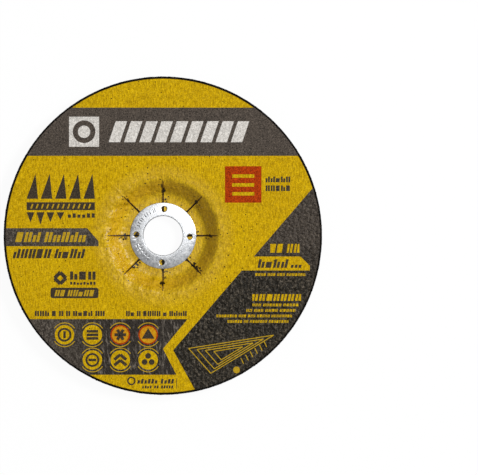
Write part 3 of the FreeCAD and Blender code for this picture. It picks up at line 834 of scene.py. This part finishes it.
# Each row: its maker, left end, foot, height, length, groups of figures and lean
for row, left, foot, height, length, groups, lean in (
    (stroke_row, -84.6, -12.7, 5.2, 41.07, (5, 4), 1.3),  # below the tag
    (stroke_row, -72.04, -45.3, 2.9, 39.2, (3, 1, 1, 1, 4, 2), 0.0),  # above the left panel
    (stroke_row, -20.7, -45.3, 2.9, 34.1, (2, 1, 4, 1, 4), 0.0),
    (stroke_row, 57.93, 25.1, 3.2, 13.82, (5,), 0.0),  # beside the red patch
    (stroke_row, 57.93, 30.1, 3.2, 13.82, (5,), 0.0),
    (stroke_row, -52.2, -24.8, 4.6, 14.3, (3,), 0.0),  # above the plate
    (fine_row, -52.2, -27.6, 1.6, 14.3, (8,), 0.0),
    (stroke_row, 53.3, -18.1, 4.8, 17.6, (4,), 1.0),  # in the bare tag at the right
    (fine_row, 72.0, -18.1, 1.7, 6.2, (3,), 0.4),
    (fine_row, -14.4, -83.3, 2.6, 20.8, (6, 4), 0.5),  # at the foot of the label
    (fine_row, -11.7, -86.0, 1.6, 17.6, (4, 2, 5), 0.3),
    (fine_row, -53.5, 10.1, 2.5, 15.2, (6,), 0.0),  # below the sill
    (gap_row, 60.5, -9.6, 5.0, 16.5, (2, 2), 0.8),  # above and below the bare tag
    (gap_row, 52.1, -22.7, 1.6, 28.2, (4, 3, 3, 7), 0.3),
):
    dark_marks += row(left, foot, height, length, groups, lean)
for foot, height, length, groups, lean in (
    (-36.7, 3.8, 27.5, (7,), 0.7),  # heading of the right panel
    (-39.8, 1.6, 25.9, (3, 6, 5), 0.3),
    (-42.9, 1.6, 27.6, (2, 3, 4, 5), 0.3),
    (-46.0, 1.6, 42.6, (8, 3, 3, 5, 8), 0.3),
    (-49.1, 1.6, 34.3, (6, 2, 7, 8), 0.3),
):
    left = inside_edge(TEXT_MARGIN, foot) - length
    dark_marks += gap_row(left, foot, height, length, groups, lean)

# Small teeth below the sill, a diamond above the plate, a ring and an upright line at the foot
for step, depth in enumerate((5.6, 7.0, 5.6, 4.2)):
    dark_marks.append(stamped(tooth, -76.7 + 5.6 * step, 13.2, 4.4, -depth))
diamond_middle = Vector((-57.75, -23.9))
diamond = [diamond_middle + arm(turn, 3.2) for turn in (0, 90, 180, 270)]
dark_marks += outline(diamond, 2.0, WEB_LEVEL)
small_ring = round_sign(2.4, 0.8)
dark_marks.append(set_at(small_ring, -17.7, -81.8))
dark_marks.append(stamped(stroke, 7.7, -86.0, 0.3, 5.6))

# Figures in the upper row of round signs: an upright bar in a ring, three bars, an asterisk, a
# triangle. In the lower row: a level bar in a ring, two chevrons, three dots.
COLUMNS = [COLUMN_PITCH * column - inside_edge(SIGN_MARGIN, UPPER_ROW) for column in range(4)]
first, second, third, fourth = COLUMNS
sign_ring = round_sign(3.9, 1.1)
sign_dot = round_sign(1.6)
dark_marks.append(set_at(sign_ring, first, UPPER_ROW))
dark_marks.append(stamped(stroke, first - 0.7, UPPER_ROW - 2.0, 1.4, 4.0))
for foot in (-2.8, -0.8, 1.2):
    dark_marks.append(stamped(stroke, second - 3.3, UPPER_ROW + foot, 6.6, 1.5))
for turn in (0, 60, 120):
    middle = Vector((third, UPPER_ROW))
    dark_marks.append(bar(middle - arm(turn, 3.3), middle + arm(turn, 3.3), 1.7, ON_INK))
dark_marks.append(stamped(tooth, fourth - 3.6, UPPER_ROW - 2.2, 7.2, 6.0, level=ON_INK))
dark_marks.append(set_at(sign_ring, second, LOWER_ROW))
dark_marks.append(stamped(stroke, second - 2.2, LOWER_ROW - 0.7, 4.4, 1.4))
for foot in (-3.0, 0.2):
    tip = Vector((third, LOWER_ROW + foot + 2.8))
    for side in (-3.4, 3.4):
        dark_marks.append(bar((third + side, LOWER_ROW + foot), tip, 1.7, WEB_LEVEL))
for turn in (90, 210, 330):
    dot = arm(turn, 2.3)
    dark_marks.append(set_at(sign_dot, fourth + dot.x, LOWER_ROW + dot.y))

dark_print = join(dark_marks, "dark_small_print")
laid(dark_print)
print_ink = dark_ink(
    "print_ink", (60, 50, 38), (96, 84, 62), lump=0.9, scratch=0.2, fine=0.2, cell_depth=0.05
)
print_ink.onto(dark_print)
mount(dark_print, "dark_ink", "dark_print")

# Yellow rows on the tag and the plate, slots in the sill, and arcs above and below each sign
yellow_marks = stroke_row(-83.2, -3.6, 5.6, 40.6, (3, 5), lean=1.4, level=ON_INK)
yellow_marks += stroke_row(-61.1, -34.1, 3.5, 22.8, (2, 5), lean=0.9, level=ON_INK)
for step in range(12):
    yellow_marks.append(stamped(stroke, -74.6 + 2.95 * step, 15.3, 0.9, 2.6, 0.9, ON_INK))
bracket = round_sign(6.95, FINE_LINE, keep_above=3.6)
signs = [(across, UPPER_ROW) for across in COLUMNS] + [(across, LOWER_ROW) for across in COLUMNS[1:]]
for across, up in signs:
    for turn in (0, 180):
        yellow_marks.append(set_at(bracket, across, up, ON_INK, turn))

# Fine line figure of nested triangles, with a hatch along one side and a dot
figure_middle = Vector((36.0, -66.0))
corners = [Vector((14.5, -63.5)), Vector((62.5, -56.0)), Vector((27.0, -77.5))]
for share in (1.0, 0.78, 0.56, 0.34):
    triangle = [figure_middle.lerp(corner, share) for corner in corners]
    yellow_marks += outline(triangle, FINE_LINE, ON_INK)
for step in range(6):
    start = Vector((44.0 + 2.6 * step, -69.0 + 1.9 * step))
    yellow_marks.append(bar(start, start + Vector((1.5, -3.2)), FINE_LINE, ON_INK))
full_dot = round_sign(1.9)
yellow_marks.append(set_at(full_dot, 41.5, -75.6, ON_INK))
yellow_print = join(yellow_marks, "yellow_small_print")
laid(yellow_print)


def bright_ink(name, low, high, wear_size):
    """Bright ink with a soft change of tone and a low relief where it is worn."""
    ink = Finish(name, 0.5, gloss=0.06)
    wear = ink.noise(wear_size, 3, 0.65)
    ink.colour(ink.mix(ink.ramp(wear, 0.35, 0.7), screen(*low), screen(*high)))
    ink.bump(wear, 0.15)
    return ink


bright_ink("yellow_ink", (192, 158, 34), (150, 118, 18), 1.0).onto(yellow_print)
mount(yellow_print, "label_paper")

orange_field = round_sign(4.75)
red_ring = round_sign(5.5, 0.7)
orange_print = join([set_at(orange_field, at, UPPER_ROW) for at in (third, fourth)], "orange_fields")
red_rings = join([set_at(red_ring, at, UPPER_ROW) for at in (third, fourth)], "red_rings")
laid(orange_print)
bright_ink("orange_ink", (182, 112, 8), (200, 158, 26), 1.1).onto(orange_print)
mount(orange_print, "label_paper")
for master in (stroke, tooth, sign_ring, sign_dot, full_dot, small_ring, bracket, red_ring, orange_field):
    bpy.data.objects.remove(master)


# White and red marks. White ink over the dark band, a square and leaning stripes, and a red
# patch at the right with three bare rungs.
SQUARE_MIDDLE = Vector((-44.35, 58.55, WEB_LEVEL))


def pitted_ink(name, gloss, tones, full_pit, pitted, grain):
    """Bright ink with a low relief where it is worn, and pits of the last of its three tones."""
    ink = Finish(name, 0.5, gloss=gloss)
    wear = ink.noise(1.2, 3, 0.65)
    pits = ink.noise(0.8, 3, 0.7, shift=(3, 0, 0))
    low, high, dark = (screen(*tone) for tone in tones)
    tone = ink.mix(ink.ramp(wear, 0.3, 0.7), low, high)
    tone = ink.mix(ink.ramp(pits, 0.56, full_pit, 0, pitted), tone, dark)
    ink.colour(ink.grained(tone, grain))
    ink.bump(wear, 0.25)
    return ink


white_tones = (222, 218, 212), (184, 179, 172), (118, 110, 102)
white_ink = pitted_ink("white_ink", 0.15, white_tones, full_pit=0.74, pitted=0.7, grain=0.5)

# The ring in the square is bare: a taller one is cut out of the ink
white_marks = from_node("white_marks", "white_print")
bare_ring = round_sign(6.4, 2.9)
taller = Matrix.Diagonal((1, 1, 4, 1))
bare_ring.data.transform(Matrix.Translation(SQUARE_MIDDLE * MM) @ taller)
cut_out(white_marks, bare_ring)
laid(white_marks)
white_ink.onto(white_marks)
mount(white_marks, "white_ink", "white_print")

red_tones = (150, 42, 0), (166, 60, 4), (106, 30, 4)
red_ink = pitted_ink("red_ink", 0.06, red_tones, full_pit=0.76, pitted=0.6, grain=0.6)
red_patch = from_node("red_patch", "red_print")
laid(red_patch)
red_ink.onto(red_patch)
mount(red_patch, "red_ink", "red_print")
laid(red_rings)
red_ink.onto(red_rings)
mount(red_rings, "red_ink")


# Facing. Black crepe paper glued over the glass net behind, creased at the plateau, with short
# pleats where it turns up the slope.
FACING_RADIUS = 88.8
PLATEAU_RADIUS = 23.815
BACK_LEVEL = FLOOR_BACK - PAPER
BACK_WEB = WEB_BACK - PAPER
BACK_SLOPE = math.radians(35)
BACK_BEND = 6.0
CREPE_START = 19.2
PLEATS = 46
PLEAT_START, PLEAT_END = 24, 44

brow_drop = BACK_BEND * (1 - math.cos(BACK_SLOPE))
brow_start = PLATEAU_RADIUS + (BACK_WEB - BACK_LEVEL - brow_drop) / math.tan(BACK_SLOPE)
brow_centre = (brow_start + BACK_BEND * math.sin(BACK_SLOPE), BACK_WEB - BACK_BEND)
brow_foot = (brow_start, BACK_WEB - brow_drop)
facing_section = [
    (BORE_EDGE, FLOOR_BACK),
    (KNEE_BACK, FLOOR_BACK),
    (BROW_BACK, WEB_BACK),
    (FACING_RADIUS, WEB_BACK),
    *line((FACING_RADIUS, BACK_WEB), (brow_centre[0], BACK_WEB), LABEL_PITCH),
    *bend(brow_centre, BACK_BEND, 90, 125, 5),
    *line(brow_foot, (PLATEAU_RADIUS, BACK_LEVEL), LABEL_PITCH),
    *line((PLATEAU_RADIUS, BACK_LEVEL), (BORE_EDGE, BACK_LEVEL), LABEL_PITCH),
    (BORE_EDGE, BACK_LEVEL),
]
facing = turned("facing_sheet", facing_section, LABEL_STEPS)


def under_side(out, turn, up):
    """Weight 1 on the outer face of the facing, outside the ring, and 0 on its glued face."""
    glued = up > WEB_BACK - 0.01 or (up > FLOOR_BACK - 0.01 and out < KNEE_BACK + 0.03)
    return 0.0 if glued or out > FACING_RADIUS - 0.05 else (out - CREPE_START) / 1.5


def pleated(out, turn, up):
    """Narrow pleats along the slope, each of its own depth, that fade out on the web."""
    depth = 0.6 + 0.4 * math.sin(11 * turn + 1)
    wave = math.cos(PLEATS * turn + 2.2 * math.sin(5 * turn)) * depth
    fade = min((out - PLEAT_START) / 3, (PLEAT_END - out) / 9)
    return under_side(out, turn, up) * max(0.0, wave) ** 2 * max(0.0, min(1.0, fade))


behind = mark_points(facing, "behind", under_side)
pleats = mark_points(facing, "pleats", pleated)
relief(facing, clouds("crepe", 2.2, depth=2), -0.07, behind)
relief(facing, swells, -0.07, behind)
relief(facing, None, 0.13, pleats, middle=0.0)
smooth(facing, 40)

crepe = Finish("black_crepe", 0.62, gloss=0.3)
folds = crepe.noise(1.2, 4, 0.6, stretch=(5, 1, 1), turn=-22)
mottle = crepe.noise(1.4, 4)
tone = crepe.mix(crepe.ramp(mottle, 0.3, 0.7), screen(42, 37, 33), screen(56, 50, 45))
# Painted highlight: the ridges of the folds are lighter
crepe.colour(crepe.mix(crepe.ramp(folds, 0.55, 0.8, 0, 0.4), tone, screen(76, 69, 63)))
crepe.bump(folds, 0.3)
crepe.bump(mottle, 0.15)
crepe.onto(facing)
mount(facing, "facing_paper", "back_facing")


# Rings. Two flanges stamped from zinc-plated sheet, one collar pushed into the other through the
# bore. Four holes with rounded mouths, and shallow stamped ticks on the front one.
RING_RADIUS = 18.715
SHEET = 0.5
FRONT_BORE, BACK_BORE = 11.115, 11.655
FRONT_FACE, BACK_FACE = 4.0, 0.0
FRONT_WALL_END, BACK_WALL_END = 0.15, 1.4
FRONT_RISE, BACK_RISE = 0.2, 0.0
HOLE_CIRCLE = 15.1575
RING_STEPS = 256
CLOCKING = -2.5


def quarter_round(radius, angles):
    """How far points of a rounded edge lie from its wall and its face, at angles in degrees."""
    turns = [math.radians(angle) for angle in angles]
    return [(radius * (1 - math.sin(t)), radius * (1 - math.cos(t))) for t in turns]


def ring_section(bore, wall_end, face, inward, rise):
    """Section of a ring. Its outer face lies at face by the bore and falls by rise to its edge;
    inward is 1 or -1, the way to the other ring."""
    low = face + inward * rise
    back = face + inward * SHEET
    mouth = quarter_round(0.35, (90, 70, 50, 30, 15, 0))
    edge = quarter_round(0.22, (0, 25, 45, 65, 90))
    return [
        (bore, wall_end),
        *[(bore + out, face + inward * deep) for out, deep in mouth],
        (bore + 2.0, face + inward * rise * 0.1),
        (bore + 4.0, face + inward * rise * 0.4),
        *[(RING_RADIUS - out, low + inward * deep) for out, deep in edge],
        (RING_RADIUS, back),
        (bore + SHEET, back),
        (bore + SHEET, wall_end),
    ]


def punch(radius, flare, face, inward):
    """A tool for the four holes, flared towards the face to leave rounded mouths."""
    start, end = face - inward * 0.3, face + inward * 1.2
    profile = [(0.0, start), (radius + flare, start)]
    for out, deep in quarter_round(flare, (0, 25, 45, 65, 90)):
        profile.append((radius + out, face + inward * (0.1 + deep)))
    profile += [(radius, end), (0.0, end)]
    tool = turned("punch", profile, steps=40)
    tool.data.transform(Matrix.Translation((HOLE_CIRCLE * MM, 0, 0)))
    tools = round_copies(tool, [CLOCKING + 90 * hole for hole in range(4)])
    bpy.data.objects.remove(tool)
    return join(tools)


def chisel(length, width, depth, out, along=False):
    """A wedge that stamps a tick of this width and depth, along the radius or across it."""
    bpy.ops.object.select_all(action="DESELECT")
    bpy.ops.mesh.primitive_cube_add(size=MM)
    tool = bpy.context.object
    edit(tool)
    bpy.ops.transform.resize(value=(length, 2 * width, 2 * depth))
    pick(tool, lambda x, y, z: z < 0)
    bpy.ops.transform.resize(value=(0.8, 0, 1))
    bpy.ops.mesh.select_all(action="SELECT")
    bpy.ops.mesh.remove_doubles(threshold=1e-7)
    bpy.ops.mesh.normals_make_consistent(inside=False)
    if not along:
        bpy.ops.transform.rotate(value=math.radians(90), orient_axis="Z", center_override=(0, 0, 0))
    face_at_ticks = FRONT_FACE - 0.06
    bpy.ops.transform.translate(value=(out * MM, 0, face_at_ticks * MM))
    leave_edit()
    return tool


front_section = ring_section(FRONT_BORE, FRONT_WALL_END, FRONT_FACE, -1, FRONT_RISE)
front = turned("front_flange", front_section, RING_STEPS)
cut_out(front, punch(radius=1.5, flare=0.35, face=FRONT_FACE, inward=-1))
upper_ticks = [108, 112, 120, 126, 132, 141, 146, 152, 158]
lower_ticks = [201, 209, 218, 227, 236]
for tick, turns in (
    (chisel(2.4, width=0.55, depth=0.2, out=HOLE_CIRCLE, along=True), upper_ticks),
    (chisel(1.1, width=0.55, depth=0.18, out=HOLE_CIRCLE + 0.9), lower_ticks),
    (chisel(1.1, width=0.55, depth=0.18, out=HOLE_CIRCLE - 0.6), lower_ticks),
    (chisel(0.8, width=0.7, depth=0.2, out=HOLE_CIRCLE), [187.5]),
):
    cut_out(front, join(round_copies(tick, turns)))
    bpy.data.objects.remove(tick)
back_section = ring_section(BACK_BORE, BACK_WALL_END, BACK_FACE, 1, BACK_RISE)
back = turned("back_flange", back_section, RING_STEPS)
cut_out(back, punch(radius=1.4, flare=0.4, face=BACK_FACE, inward=1))


def stamps(finish, out):
    """1 in the stamped ticks, which lie lower than the domed face of the front ring, where the zinc gets
    painted shade.
    """
    domed_face = finish.ramp(out, 13.0, 18.7, FRONT_FACE - 0.01, FRONT_FACE - FRONT_RISE)
    sunk = finish.math("SUBTRACT", domed_face, finish.split()[2])
    return finish.times(
        finish.ramp(sunk, 0.03, 0.1),
        finish.ramp(sunk, 0.25, 0.3, 1.0, 0.0),
        finish.ramp(out, 17.8, 18.1, 1.0, 0.0),
        finish.ramp(out, 12.2, 12.6),
    )


zinc = Finish("zinc_plate", 0.3, metallic=1.0)
out = zinc.polar()[0]
spangle = zinc.noise(1.7, 4, 0.6)
streak = zinc.noise(0.45, 3, stretch=(6, 1, 1), turn=35)
tone = zinc.mix(zinc.ramp(spangle, 0.3, 0.7), screen(192, 195, 199), screen(230, 231, 232))
tone = zinc.mix(zinc.ramp(streak, 0.55, 0.8, 0, 0.5), tone, screen(152, 156, 162))
# Painted shade: the zinc darkens towards the bore's mouth, where its wall and a contact shadow lie
tone = zinc.mix(zinc.ramp(out, 11.2, 11.6, 0.7, 0.0), tone, screen(70, 70, 72))
# Painted shade in the stamped ticks
zinc.colour(zinc.mix(zinc.times(stamps(zinc, out), 0.75), tone, screen(60, 60, 62)))
zinc.roughness(zinc.ramp(spangle, 0.3, 0.7, 0.24, 0.4))
zinc.bump(out, -0.045)
zinc.bump(spangle, 0.05)
zinc.bump(streak, 0.012)
for ring, node in ((front, "front_ring"), (back, "back_ring")):
    smooth(ring, 35)
    zinc.onto(ring)
    mount(ring, "ring_steel", node)


# Floor, lamps and camera. A white sheet under the wheel, a bright lamp from the right, a soft
# panel at the upper right, and a long lens straight above the middle of the picture.
FLOOR_SIZE, FLOOR_DROP = 6, 0.0003
FRAME_WIDTH = 0.2692
PICTURE_MIDDLE = (0.0429, -0.00103)

bpy.ops.object.select_all(action="DESELECT")
bpy.ops.mesh.primitive_plane_add(size=FLOOR_SIZE, location=(0, 0, -FLOOR_DROP))
floor = bpy.context.object
floor.name = "floor"

# Where it is seen, the sheet glows evenly, with a trace of shadow
ground = Finish("white_floor", 0.9, gloss=0.5)
ground.colour((0.93, 0.93, 0.93, 1))
ray = ground.nodes.new("ShaderNodeLightPath").outputs
seen = ground.math("ADD", ray["Is Camera Ray"], ray["Is Glossy Ray"])
seen = ground.math("ADD", seen, ray["Is Transmission Ray"])
blend = ground.nodes.new("ShaderNodeMixShader")
glow = ground.nodes.new("ShaderNodeEmission")
surface = ground.nodes["Material Output"].inputs["Surface"]
ground.feed(blend.inputs[0], ground.ramp(seen, 0, 1, 0.0, 0.94))
ground.feed(blend.inputs[1], ground.shader.outputs[0])
ground.feed(blend.inputs[2], glow.outputs[0])
ground.feed(surface, blend.outputs[0])
ground.onto(floor)

world = bpy.data.worlds.new("studio")
bpy.context.scene.world = world
world.use_nodes = True
background = world.node_tree.nodes["Background"]
background.inputs["Color"].default_value = (1, 1, 1, 1)
background.inputs["Strength"].default_value = 0.34


def soft_lamp(name, place, size, power):
    """A square lamp that faces the wheel."""
    data = bpy.data.lights.new(name, "AREA")
    data.shape = "SQUARE"
    data.size = size
    data.energy = power
    lamp = bpy.data.objects.new(name, data)
    bpy.context.scene.collection.objects.link(lamp)
    lamp.location = place
    lamp.rotation_euler = (-Vector(place)).to_track_quat("-Z", "Y").to_euler()


soft_lamp("key", (2.56, 1.03, 2.35), size=1.1, power=118)
soft_lamp("panel", (0.16, 0.36, 1.7), size=0.76, power=5.0)

lens = bpy.data.cameras.new("camera")
lens.lens = 200
lens.sensor_width = 36
lens.clip_end = 20
camera = bpy.data.objects.new("camera", lens)
bpy.context.scene.collection.objects.link(camera)
distance = FRAME_WIDTH * lens.lens / lens.sensor_width
camera.location = (*PICTURE_MIDDLE, WEB_LEVEL * MM + distance)
bpy.context.scene.camera = camera
bpy.context.scene.view_settings.view_transform = "Standard"
